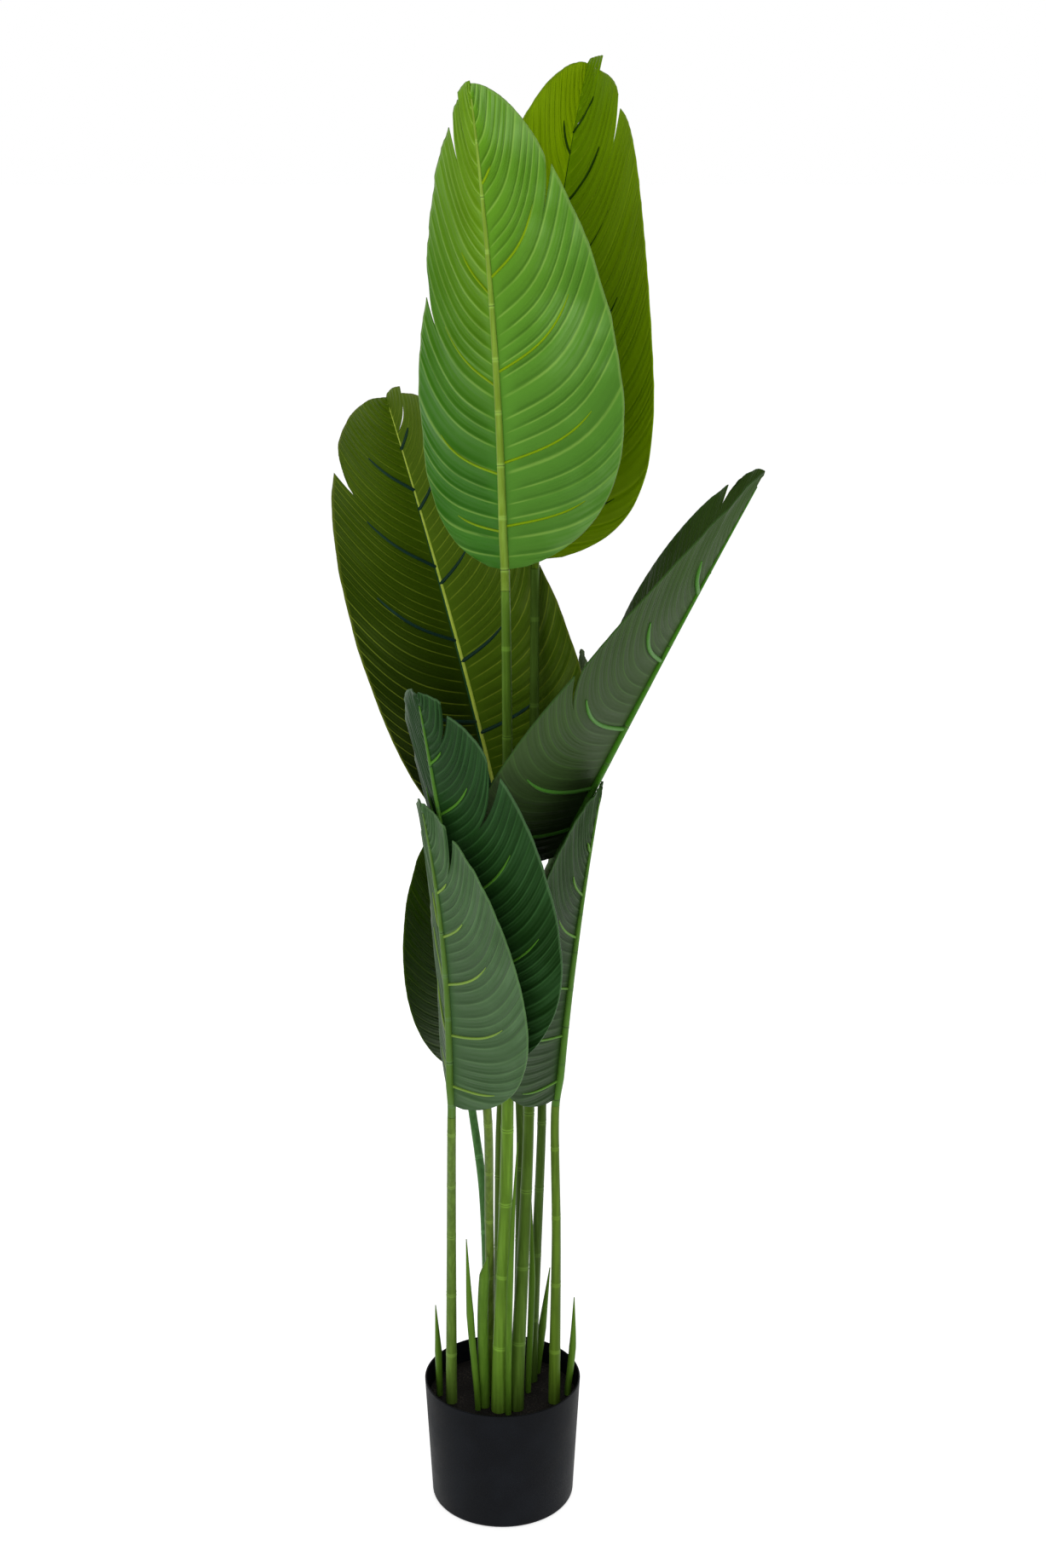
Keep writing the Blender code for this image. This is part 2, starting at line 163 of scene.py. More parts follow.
def newTree(name, inputs):
    tree = bpy.data.node_groups.new(name, "GeometryNodeTree")
    tree.interface.new_socket("Geometry", in_out="OUTPUT", socket_type="NodeSocketGeometry")
    tree.interface.new_socket("Geometry", in_out="INPUT", socket_type="NodeSocketGeometry")
    for label, kind in inputs.items():
        tree.interface.new_socket(label, in_out="INPUT", socket_type=socketKinds[kind])
    entry = tree.nodes.new("NodeGroupInput")
    return tree, {label: Wire(entry.outputs[label]) for label in ("Geometry", *inputs)}


def closeTree(tree, geometry, material):
    real = Wire.add(tree, "GeometryNodeRealizeInstances", None, {"Geometry": geometry})
    done = Wire.add(tree, "GeometryNodeSetMaterial", None, {"Geometry": real, "Material": material})
    tree.links.new(done.socket, tree.nodes.new("NodeGroupOutput").inputs["Geometry"])
    return tree


def grow(piece, tree, values):                       # inputs are set by identifier, before any evaluation
    modifier = piece.modifiers.new(tree.name, "NODES")
    modifier.node_group = tree
    for item in tree.interface.items_tree:
        if item.in_out == "INPUT" and item.name in values:
            modifier[item.identifier] = values[item.name]


def linked(name, data):
    piece = bpy.data.objects.new(name, data)
    bpy.context.scene.collection.objects.link(piece)
    return piece


def bake(piece):                                     # the evaluated piece as one plain mesh
    bpy.context.view_layer.update()
    mesh = bpy.data.meshes.new_from_object(piece.evaluated_get(bpy.context.evaluated_depsgraph_get()))
    name = piece.name
    bpy.data.objects.remove(piece, do_unlink=True)
    mesh.name = name
    return linked(name, mesh)


def wires(name, lines):                              # edges only, one open line for each list of points
    mesh = bpy.data.meshes.new(name)
    points, edges = [], []
    for line in lines:
        first = len(points)
        points += [tuple(point) for point in line]
        edges += [(index, index + 1) for index in range(first, len(points) - 1)]
    mesh.from_pydata(points, edges, [])
    return linked(name, mesh)


def settle(piece, slotName, *nodes):                 # what every finished piece gets
    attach(piece, "root")
    if nodes:
        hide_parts(*nodes)


def meshPiece(name, work):
    data = bpy.data.meshes.new(name)
    work.to_mesh(data)
    work.free()
    return linked(name, data)


# Leaves: the same values as the solids have, with what only shows here

leafShape = {
    "outlineScale": 1.18, "tipPower": 1.76, "baseRound": 0.6,
    "bow": ((1.0, 0.42), (4.0, 0.58)), "pathSteps": 60, "splitReach": 0.05,
    "rowSpacing": 0.0018, "columns": (0.0, 0.03, 0.07, 0.12, 0.18, 0.25, 0.32, 0.4, 0.48, 0.56, 0.64, 0.72,
                                   0.79, 0.85, 0.9, 0.94, 0.97, 0.99, 1.0),
    "pleatJitter": 1.4, "jitterScale": 9.0, "ridgePower": 1.3, "ridgeMean": 0.27,
    "patternEnds": (0.004, 0.992), "edgeWave": 0.06, "edgeScale": 11.0, "ruffle": 0.006, "thickness": 0.0011,
}

leaves = {
    "top_front": dict(
        base=(0.0060, -0.1050, 1.1255), length=0.470, halfWidth=(0.1290, 0.1290), lean=(-1.0, -7.0),
        back=(9.0, -4.0), facing=(-30.0, -34.0), fold=(17.5, 12.0), curl=(2.9, -4.0), sweep=2.10,
        undersideFront=True, fullness=(6.0, 5.8), taper=(0.590, 0.555),
        splits=((-1, 0.970, 0.60, 0.0050, (0.00, 0.07)), (-1, 0.932, 0.70, 0.0120, (0.00, 0.24)),
                (-1, 0.590, 0.84, 0.0130, (0.02, 0.12)), (1, 0.834, 0.80, 0.0070, (0.00, 0.08))),
        stalk=0.021, pleat=(0.0165, 0.0030), ribRadius=0.0014,
        ribs=((1, 0.80, 0.40), (1, 0.61, 0.78), (1, 0.415, 0.79), (1, 0.225, 0.75), (1, 0.092, 0.72),
              (-1, 0.575, 0.60), (-1, 0.385, 0.74), (-1, 0.20, 0.72), (-1, 0.08, 0.62))),
    "top_back": dict(
        base=(0.0367, 0.0300, 1.1120), length=0.546, halfWidth=(0.1070, 0.1452), lean=(0.0, 13.0),
        back=(5.0, 31.0), facing=(20.0, -11.0), fold=(-33.0, -43.0), curl=(0.5, -20.1), sweep=2.15,
        undersideFront=False, fullness=(4.6, 7.4), taper=(0.555, 0.475),
        splits=((1, 0.985, 0.00, 0.0100, (0.45, 0.10)), (1, 0.874, 0.78, 0.0168, (0.05, 0.15))),
        stalk=0.009, pleat=(0.0180, 0.0026), ribRadius=0.0014,
        ribs=((1, 0.845, 0.72), (1, 0.69, 0.70), (1, 0.53, 0.72), (1, 0.36, 0.74), (1, 0.20, 0.74),
              (1, 0.08, 0.68), (-1, 0.80, 0.6), (-1, 0.62, 0.7), (-1, 0.43, 0.72), (-1, 0.25, 0.72),
              (-1, 0.09, 0.66))),
    "upper_left": dict(
        base=(0.0020, 0.0580, 0.7900), length=0.540, halfWidth=(0.1460, 0.1320), lean=(-11.0, -21.0),
        back=(-7.0, 47.0), facing=(28.0, -8.0), fold=(-44.0, -31.0), curl=(11.0, -12.0), sweep=1.70,
        undersideFront=False, fullness=(5.3, 5.8), taper=(0.515, 0.491),
        splits=((1, 0.980, 0.00, 0.0070, (0.20, 0.10)), (-1, 0.809, 0.83, 0.0092, (0.00, 0.14)),
                (1, 0.520, 0.85, 0.0060, (0.00, 0.03))),
        stalk=0.020, pleat=(0.0115, 0.0016), ribRadius=0.0021,
        ribs=((1, 0.86, 0.50), (1, 0.715, 0.42), (1, 0.55, 0.45), (1, 0.385, 0.50), (1, 0.235, 0.52),
              (1, 0.09, 0.55), (-1, 0.76, 0.72), (-1, 0.587, 0.75), (-1, 0.43, 0.76), (-1, 0.26, 0.74),
              (-1, 0.10, 0.66))),
    "right": dict(
        base=(0.0590, -0.0550, 0.8070), length=0.510, halfWidth=(0.1460, 0.1452), lean=(20.3, 27.0),
        back=(-35.0, -9.0), facing=(38.0, 70.0), fold=(0.5, 34.0), curl=(21.0, 22.0), sweep=1.90,
        undersideFront=True, fullness=(5.9, 4.8), taper=(0.555, 0.555),
        splits=((-1, 0.586, 0.80, 0.0060, (0.00, 0.04)), (1, 0.933, 0.86, 0.0080, (0.00, 0.27))),
        stalk=0.020, pleat=(0.0130, 0.0012), ribRadius=0.0025,
        ribs=((-1, 0.735, 0.70), (-1, 0.573, 0.74), (-1, 0.397, 0.76), (-1, 0.228, 0.74), (-1, 0.10, 0.66),
              (1, 0.78, 0.5), (1, 0.61, 0.7), (1, 0.42, 0.75), (1, 0.24, 0.72), (1, 0.09, 0.66))),
    "middle": dict(
        base=(-0.0190, -0.1510, 0.6020), length=0.455, halfWidth=(0.1190, 0.1150), lean=(-8.0, -7.0),
        back=(1.0, -30.0), facing=(-51.0, -24.0), fold=(38.0, 4.0), curl=(9.0, 19.0), sweep=1.97,
        undersideFront=True, fullness=(5.8, 5.8), taper=(0.555, 0.545),
        splits=((1, 0.970, 0.60, 0.0180, (0.00, 0.18)), (1, 0.809, 0.60, 0.0160, (0.00, 0.16))),
        stalk=0.015, pleat=(0.0125, 0.0018), ribRadius=0.0016,
        ribs=((1, 0.807, 0.45), (1, 0.665, 0.66), (1, 0.44, 0.80), (1, 0.25, 0.82), (1, 0.09, 0.7),
              (-1, 0.60, 0.6), (-1, 0.40, 0.72), (-1, 0.22, 0.72), (-1, 0.08, 0.62))),
    "low_front": dict(
        base=(-0.0520, -0.1300, 0.5530), length=0.365, halfWidth=(0.1090, 0.1130), lean=(1.0, -9.0),
        back=(-3.0, -20.0), facing=(-56.0, -53.0), fold=(22.0, 7.0), curl=(6.5, 8.0), sweep=2.21,
        undersideFront=True, fullness=(6.0, 5.8), taper=(0.535, 0.555),
        splits=((1, 0.939, 0.60, 0.0180, (0.00, 0.18)),), stalk=0.014, pleat=(0.0120, 0.0016),
        ribRadius=0.0016,
        ribs=((1, 0.70, 0.42), (1, 0.553, 0.54), (1, 0.395, 0.70), (1, 0.228, 0.72), (1, 0.063, 0.70),
              (-1, 0.56, 0.55), (-1, 0.36, 0.70), (-1, 0.20, 0.72), (-1, 0.07, 0.62))),
    "low_right": dict(
        base=(0.0610, -0.0340, 0.5180), length=0.430, halfWidth=(0.1090, 0.1100), lean=(4.0, 7.8),
        back=(-15.0, -25.0), facing=(54.0, 51.4), fold=(2.0, 29.0), curl=(7.0, 4.0), sweep=2.41,
        undersideFront=True, fullness=(5.8, 5.5), taper=(0.555, 0.565), splits=(), stalk=0.009,
        pleat=(0.0125, 0.0016), ribRadius=0.0016,
        ribs=((-1, 0.80, 0.40), (-1, 0.66, 0.61), (-1, 0.525, 0.60), (-1, 0.36, 0.66), (-1, 0.208, 0.70),
              (-1, 0.06, 0.68), (1, 0.60, 0.6), (1, 0.40, 0.7), (1, 0.22, 0.7), (1, 0.08, 0.6))),
    "low_left": dict(
        base=(-0.0420, 0.1640, 0.4667), length=0.305, halfWidth=(0.1210, 0.1100), lean=(-3.0, -8.4),
        back=(15.0, 0.9), facing=(50.0, 25.0), fold=(-23.0, -20.0), curl=(5.0, -3.0), sweep=2.05,
        undersideFront=False, fullness=(6.1, 5.8), taper=(0.605, 0.555), splits=(), stalk=0.015,
        pleat=(0.0105, 0.0015), ribRadius=0.0014,
        ribs=((-1, 0.74, 0.5), (-1, 0.55, 0.68), (-1, 0.36, 0.72), (-1, 0.19, 0.72), (-1, 0.07, 0.62),
              (1, 0.58, 0.6), (1, 0.38, 0.72), (1, 0.20, 0.72), (1, 0.08, 0.62))),
    "rear": dict(
        base=(0.0240, 0.0920, 0.5410), length=0.455, halfWidth=(0.1100, 0.1136), lean=(10.0, 6.8),
        back=(3.9, 12.5), facing=(72.0, 82.0), fold=(-20.2, -10.0), curl=(-3.0, 0.5), sweep=2.05,
        undersideFront=False, fullness=(5.8, 5.8), taper=(0.555, 0.501),
        splits=((1, 0.929, 0.60, 0.0140, (0.00, 0.14)),), stalk=0.020, pleat=(0.0110, 0.0015),
        ribRadius=0.0014,
        ribs=((1, 0.70, 0.5), (1, 0.55, 0.66), (1, 0.38, 0.72), (1, 0.22, 0.72), (1, 0.08, 0.62),
              (-1, 0.74, 0.5), (-1, 0.58, 0.66), (-1, 0.39, 0.72), (-1, 0.21, 0.72), (-1, 0.08, 0.62))),
}

bendInputs = {
    "Path": "object", "Length": "float", "Left width": "float", "Right width": "float",
    "Base facing": "float", "Tip facing": "float", "Left fold": "float", "Right fold": "float",
    "Left curl": "float", "Right curl": "float", "Sweep": "float", "Left fullness": "float",
    "Right fullness": "float", "Left taper": "float", "Right taper": "float",
    "Pleats": "float", "Pleat depth": "float", "Edge wave": "float", "Ruffle": "float", "Seed": "float",
}


def pleatPhase(tree, station, pleats, seed):         # pleats follow the veins, a little unevenly
    noise = Wire.add(tree, "ShaderNodeTexNoise", {"noise_dimensions": "1D"},
                     {"W": station * leafShape["jitterScale"] + seed, "Scale": 1.0, "Detail": 0.0})
    return station * pleats + (noise - 0.5) * leafShape["pleatJitter"]


def ridgeOf(phase):                                  # 1 on a vein, 0 between two
    return (1.0 - (phase * math.pi).sin().abs()) ** leafShape["ridgePower"]


def bendToLeaf(tree, entry, geometry):
    # From the flat pattern to the leaf: x is the place along a vein, negative on the left, y the
    # station along the midrib, and z the height over the blade's front.
    across, station, lift = Wire.add(tree, "GeometryNodeInputPosition").split()
    vein = across.abs()
    onRight = across > 0.0

    def half(name):
        return entry["Left " + name] + (entry["Right " + name] - entry["Left " + name]) * onRight

    def kept(name):
        return Wire.add(tree, "GeometryNodeInputNamedAttribute", {"data_type": "FLOAT"}, {"Name": name})

    inside = station.clamped()
    margin = (1.0 - (1.0 - inside) ** entry["Sweep"]).clamped(0.0001, 0.9999)
    (firstPower, firstShare), (lastPower, lastShare) = leafShape["bow"]
    bow = vein ** firstPower * firstShare + vein ** lastPower * lastShare
    along = station + (margin - inside) * bow + kept("slide")
    fromBase = (1.0 - (1.0 - margin) ** half("fullness")) ** leafShape["baseRound"]
    fromTip = (1.0 - margin ** leafShape["tipPower"]) ** half("taper")
    ridge = ridgeOf(pleatPhase(tree, station, entry["Pleats"], entry["Seed"]))
    swing = Wire.add(tree, "ShaderNodeTexNoise", {"noise_dimensions": "2D"}, {
        "Vector": joined(tree, onRight * 7.0 + entry["Seed"], station * leafShape["edgeScale"], 0.0),
        "Scale": 1.0, "Detail": 1.0}) - 0.5
    edge = 1.0 + swing * entry["Edge wave"] * vein ** 4.0
    reach = half("width") * fromBase * fromTip * vein * leafShape["outlineScale"]
    reach = reach * (1.0 - kept("pinch")) * edge

    onPath = along.clamped()
    path = Wire.add(tree, "GeometryNodeObjectInfo", {"transform_space": "ORIGINAL"},
                    {"Object": entry["Path"]}, "Geometry")
    path = Wire.add(tree, "GeometryNodeMeshToCurve", None, {"Mesh": path})
    middle = Wire.add(tree, "GeometryNodeSampleCurve", {"mode": "FACTOR"},
                      {"Curves": path, "Factor": onPath}, "Position")
    direction = middle.other("Tangent")
    facing = entry["Base facing"] + (entry["Tip facing"] - entry["Base facing"]) * onPath
    front = joined(tree, facing.sin(), -facing.cos(), 0.0)
    front = front.vector("SUBTRACT", direction.scaled(front.vector("DOT_PRODUCT", direction, out="Value")))
    front = front.vector("NORMALIZE")
    right = direction.vector("CROSS_PRODUCT", front)

    fold = half("fold")
    bend = half("curl") / half("width")
    turned = fold + bend * reach
    out = (turned.sin() - fold.sin()) / bend
    forward = (turned.cos() - fold.cos()) / bend
    side = onRight * 2.0 - 1.0
    angle = turned * (vein > 0.0001)
    unrest = Wire.add(tree, "ShaderNodeTexNoise", {"noise_dimensions": "2D"},
                      {"Vector": joined(tree, across * 0.7, station * 6.0, 0.0), "Scale": 3.0, "Detail": 1.0})
    pleat = (ridge - leafShape["ridgeMean"]) * entry["Pleat depth"] * vein.smooth(0.02, 0.22)
    pleat = pleat * (1.0 - vein.smooth(0.86, 1.0) * 0.8)
    height = lift + pleat * (unrest * 1.5 + 0.25) + swing * entry["Ruffle"] * vein ** 3.0
    goal = middle.vector("ADD", direction.scaled((along - onPath) * entry["Length"]))
    goal = goal.vector("ADD", right.scaled(side * (out + height * angle.sin())))
    goal = goal.vector("ADD", front.scaled(forward + height * angle.cos()))
    return Wire.add(tree, "GeometryNodeSetPosition", None, {"Geometry": geometry, "Position": goal})


def buildBladeTree():
    tree, entry = newTree("leafBlade", {**bendInputs, "Material": "material"})
    bent = bendToLeaf(tree, entry, entry["Geometry"])
    soft = Wire.add(tree, "GeometryNodeSetShadeSmooth", None, {"Geometry": bent})
    return closeTree(tree, soft, entry["Material"])


rodShape = {
    "ringReach": 0.0032, "grooveReach": 0.0009, "grooveDepth": 1.5, "patternSteps": 80,
}

rodInputs = {
    "Foot radius": "float", "Middle radius": "float", "Tip radius": "float", "Middle place": "float",
    "Ring spacing": "float", "Ring start": "float", "Ring swell": "float", "Step length": "float",
    "Sides": "int", "Material": "material",
}


def buildRodTree(name, onLeaf):
    # A round rod along each line, with joints: a swelling with a fine groove round it.
    tree, entry = newTree(name, {**(bendInputs if onLeaf else {}), **rodInputs})
    line = Wire.add(tree, "GeometryNodeMeshToCurve", None, {"Mesh": entry["Geometry"]})
    if onLeaf:
        line = Wire.add(tree, "GeometryNodeResampleCurve", {"mode": "COUNT"},
                        {"Curve": line, "Count": rodShape["patternSteps"]})
        line = bendToLeaf(tree, entry, line)
    line = Wire.add(tree, "GeometryNodeResampleCurve", {"mode": "LENGTH"},
                    {"Curve": line, "Length": entry["Step length"]})
    part = Wire.add(tree, "GeometryNodeSplineParameter", out="Factor")
    metres = part.other("Length")
    lower = (part / entry["Middle place"]).clamped()
    upper = ((part - entry["Middle place"]) / (1.0 - entry["Middle place"])).clamped()
    radius = entry["Foot radius"] + (entry["Middle radius"] - entry["Foot radius"]) * lower
    radius = radius + (entry["Tip radius"] - entry["Middle radius"]) * upper
    turn = (metres - entry["Ring start"]) / entry["Ring spacing"]
    away = (turn - turn.math("ROUND")).abs() * entry["Ring spacing"]
    swell = (-((away / rodShape["ringReach"]) ** 2.0)).exp()
    groove = (-((away / rodShape["grooveReach"]) ** 2.0)).exp()
    radius = radius * (1.0 + (swell - groove * rodShape["grooveDepth"]) * entry["Ring swell"])
    for label, value in (("ringAway", away), ("rodLength", metres), ("rodPart", part)):
        line = Wire.add(tree, "GeometryNodeStoreNamedAttribute", {"data_type": "FLOAT", "domain": "POINT"},
                        {"Geometry": line, "Name": label, "Value": value})
    ring = Wire.add(tree, "GeometryNodeCurvePrimitiveCircle", {"mode": "RADIUS"},
                    {"Resolution": entry["Sides"], "Radius": 1.0})
    rod = Wire.add(tree, "GeometryNodeCurveToMesh", None,
                   {"Curve": line, "Profile Curve": ring, "Scale": radius, "Fill Caps": True})
    soft = Wire.add(tree, "GeometryNodeSetShadeSmooth", None, {"Geometry": rod})
    return closeTree(tree, soft, entry["Material"])


def marginOf(leaf, station):                         # where on the margin the vein from station ends
    return 1.0 - (1.0 - station) ** leaf["sweep"]


def rootOf(leaf, margin):                            # and where the vein that ends at margin starts
    return 1.0 - (1.0 - margin) ** (1.0 / leaf["sweep"])


def flatPattern(name, leaf):
    # The blade laid flat, cut where it is split, with its veins along x and its midrib along y.
    rowCount = int(leaf["length"] / leafShape["rowSpacing"])
    first, last = leafShape["patternEnds"]
    even = [first + (last - first) * index / rowCount for index in range(rowCount + 1)]
    cuts = {rootOf(leaf, split[1]): split for split in leaf["splits"]}
    stations = [place for place in even if all(abs(place - cut) > 0.4 / rowCount for cut in cuts)]
    stations = sorted(stations + list(cuts))
    work = bmesh.new()
    slide = work.verts.layers.float.new("slide")
    pinch = work.verts.layers.float.new("pinch")
    leafMap = work.loops.layers.uv.new("leafMap")

    def point(side, vein, station, lobe):
        vert = work.verts.new((side * vein, station, 0.0))
        for cut, (cutSide, end, start, gap, rounding) in cuts.items():
            if cutSide != side or vein <= start:
                continue
            opened = (vein - start) / (1.0 - start)
            fade = math.exp(-abs(marginOf(leaf, station) - end) / leafShape["splitReach"])
            above = station > cut or (station == cut and lobe > 0)
            vert[slide] += gap * opened * fade * (1.0 if above else -1.0)
            vert[pinch] += rounding[1 if above else 0] * opened ** 2 * fade
        return vert

    bottom = point(0, 0.0, 0.0, 0)
    top = point(0, 0.0, 1.0, 0)
    spine = {station: point(0, 0.0, station, 0) for station in stations}
    for side in (-1, 1):
        rows = []
        for station in stations:
            isCut = station in cuts and cuts[station][0] == side
            for lobe in ((-1, 1) if isCut else (0,)):
                row = [spine[station]]
                for column, vein in enumerate(leafShape["columns"][1:], start=1):
                    shared = lobe > 0 and vein <= cuts[station][2]
                    row.append(rows[-1][1][column] if shared else point(side, vein, station, lobe))
                rows.append((station, row))
        strips = [(low, high) for (lowAt, low), (highAt, high) in zip(rows, rows[1:]) if lowAt != highAt]
        for low, high in strips:
            for one, two, three, four in zip(low, low[1:], high[1:], high):
                work.faces.new((one, two, three, four)[::side])
        for end, row in ((bottom, rows[0][1][::-1]), (top, rows[-1][1])):
            for one, two in zip(row, row[1:]):
                work.faces.new((end, one, two)[::side])
    for face in work.faces:
        for loop in face.loops:
            loop[leafMap].uv = loop.vert.co.xy
    return meshPiece(name, work)


def leafPath(name, leaf):                            # the midrib in space, at even steps of its length
    steps = leafShape["pathSteps"]
    step = leaf["length"] / steps
    points, directions = [Vector(leaf["base"])], []
    for index in range(steps + 1):
        lean, back = (math.radians(low + (high - low) * index / steps) for low, high in (leaf["lean"], leaf["back"]))
        directions.append(Vector((math.tan(lean), math.tan(back), 1.0)).normalized())
        if index:
            points.append(points[-1] + (directions[-2] + directions[-1]) * (step / 2.0))
    return wires(name, [points]), directions[0]


def bendValues(leaf, path, seed):
    values = {"Path": path, "Length": leaf["length"], "Sweep": leaf["sweep"],
              "Base facing": math.radians(leaf["facing"][0]), "Tip facing": math.radians(leaf["facing"][1]),
              "Pleats": leaf["length"] / leaf["pleat"][0], "Edge wave": leafShape["edgeWave"],
              "Pleat depth": leaf["pleat"][1] * (1.0 if leaf["undersideFront"] else -1.0),
              "Ruffle": leafShape["ruffle"], "Seed": seed}
    for index, side in enumerate(("Left", "Right")):
        values[side + " width"] = leaf["halfWidth"][index]
        values[side + " fullness"] = leaf["fullness"][index]
        values[side + " taper"] = leaf["taper"][index]
        values[side + " fold"] = math.radians(leaf["fold"][index])
        values[side + " curl"] = math.radians(leaf["curl"][index])
    return values


# Finishes

def newFinish(name, roughness, specular, tint=(1.0, 1.0, 1.0)):
    material = bpy.data.materials.new(name)
    material.use_nodes = True
    shader = material.node_tree.nodes["Principled BSDF"]
    shader.inputs["Roughness"].default_value = roughness
    shader.inputs["Specular IOR Level"].default_value = specular
    shader.inputs["Specular Tint"].default_value = (*tint, 1.0)
    return material, material.node_tree, shader


def feed(shader, name, wire):
    wire.tree.links.new(wire.socket, shader.inputs[name])


def bump(tree, height, distance):
    return Wire.add(tree, "ShaderNodeBump", None, {"Height": height, "Distance": distance})


def cloud(tree, place, scale, detail=2.0):
    return Wire.add(tree, "ShaderNodeTexNoise", None, {"Vector": place, "Scale": scale, "Detail": detail})


def objectPlace(tree):
    return Wire.add(tree, "ShaderNodeTexCoord", out="Object")


leafLooks = {                                        # screen colours: each half at its base and its tip
    "top_front": dict(
        left=((46, 104, 14), (106, 148, 20)), right=((74, 124, 40), (86, 134, 26)), line=(150, 186, 84),
        lineShare=0.34, shade=0.30, paintedSheen=(140, 174, 112), paintedSheenShare=0.34, paintedSheenSide=1, margin=(110, 144, 70),
        roughness=0.38, tint=(0.50, 0.80, 0.20), rib=(116, 146, 8), midrib=(106, 132, 38)),
    # top_back: the yellow-green is partly the blade's own colour and partly painted light shining through it from
    # behind; its lower right part is painted lighter to lift the shade that top_front casts on it
    "top_back": dict(
        left=((96, 138, 2), (130, 164, 2)), right=((118, 152, 2), (104, 142, 2)), line=(150, 180, 30),
        lineShare=0.36, shade=0.34, paintedSheen=(130, 160, 30), paintedSheenShare=0.2, paintedSheenSide=-1, margin=(104, 134, 10),
        roughness=0.42, tint=(0.50, 0.70, 0.02), rib=(24, 54, 4), midrib=(26, 58, 8)),
    # upper_left: the olive-yellow is partly the blade's own colour and partly painted light shining through it from
    # behind
    "upper_left": dict(
        left=((28, 46, 3), (80, 108, 12)), right=((66, 94, 12), (86, 112, 26)), line=(136, 154, 46),
        lineShare=0.6, shade=0.30, paintedSheen=(112, 132, 60), paintedSheenShare=0.45, paintedSheenSide=1, margin=(96, 110, 30),
        roughness=0.48, tint=(0.30, 0.40, 0.05), rib=(26, 54, 48), midrib=(62, 90, 30)),
    "right": dict(
        left=((44, 62, 30), (44, 66, 24)), right=((36, 54, 16), (46, 68, 22)), line=(66, 96, 46),
        lineShare=0.4, shade=0.22, paintedSheen=(62, 84, 44), paintedSheenShare=0.2, paintedSheenSide=-1, margin=(46, 74, 30),
        roughness=0.6, tint=(0.15, 0.25, 0.08), rib=(58, 108, 34), midrib=(48, 100, 16)),
    "middle": dict(
        # middle: the pale margin colour is a painted glint along the leaf's folded edge
        left=((20, 46, 13), (26, 56, 22)), right=((22, 50, 16), (26, 56, 22)), line=(54, 92, 48),
        lineShare=0.4, shade=0.26, paintedSheen=(52, 88, 50), paintedSheenShare=0.28, paintedSheenSide=1, margin=(70, 100, 64),
        roughness=0.46, tint=(0.10, 0.22, 0.08), rib=(62, 108, 30), midrib=(62, 102, 26)),
    "low_front": dict(
        left=((40, 72, 28), (48, 78, 36)), right=((56, 84, 48), (46, 76, 38)), line=(88, 120, 74),
        lineShare=0.34, shade=0.26, paintedSheen=(92, 120, 86), paintedSheenShare=0.35, paintedSheenSide=1, margin=(80, 112, 66),
        roughness=0.46, tint=(0.30, 0.50, 0.24), rib=(108, 138, 54), midrib=(70, 100, 36)),
    "low_right": dict(
        left=((29, 52, 17), (25, 48, 13)), right=((32, 56, 20), (32, 58, 18)), line=(60, 92, 42),
        lineShare=0.34, shade=0.26, paintedSheen=(60, 90, 50), paintedSheenShare=0.28, paintedSheenSide=-1, margin=(50, 80, 38),
        roughness=0.5, tint=(0.15, 0.28, 0.12), rib=(76, 118, 40), midrib=(66, 106, 32)),
    # low_left: the olive is partly the blade's own colour and partly painted light shining through it from behind
    "low_left": dict(
        left=((30, 56, 2), (44, 72, 2)), right=((26, 46, 2), (38, 58, 4)), line=(80, 104, 24),
        lineShare=0.4, shade=0.26, paintedSheen=(52, 76, 18), paintedSheenShare=0.25, paintedSheenSide=1, margin=(56, 80, 14),
        roughness=0.5, tint=(0.20, 0.30, 0.02), rib=(20, 42, 14), midrib=(50, 84, 24)),
    "rear": dict(
        left=((24, 42, 4), (34, 56, 6)), right=((26, 44, 4), (36, 58, 6)), line=(70, 94, 26),
        lineShare=0.4, shade=0.26, paintedSheen=(48, 70, 20), paintedSheenShare=0.25, paintedSheenSide=-1, margin=(50, 74, 16),
        roughness=0.5, tint=(0.20, 0.30, 0.04), rib=(22, 42, 14), midrib=(48, 80, 22)),
}


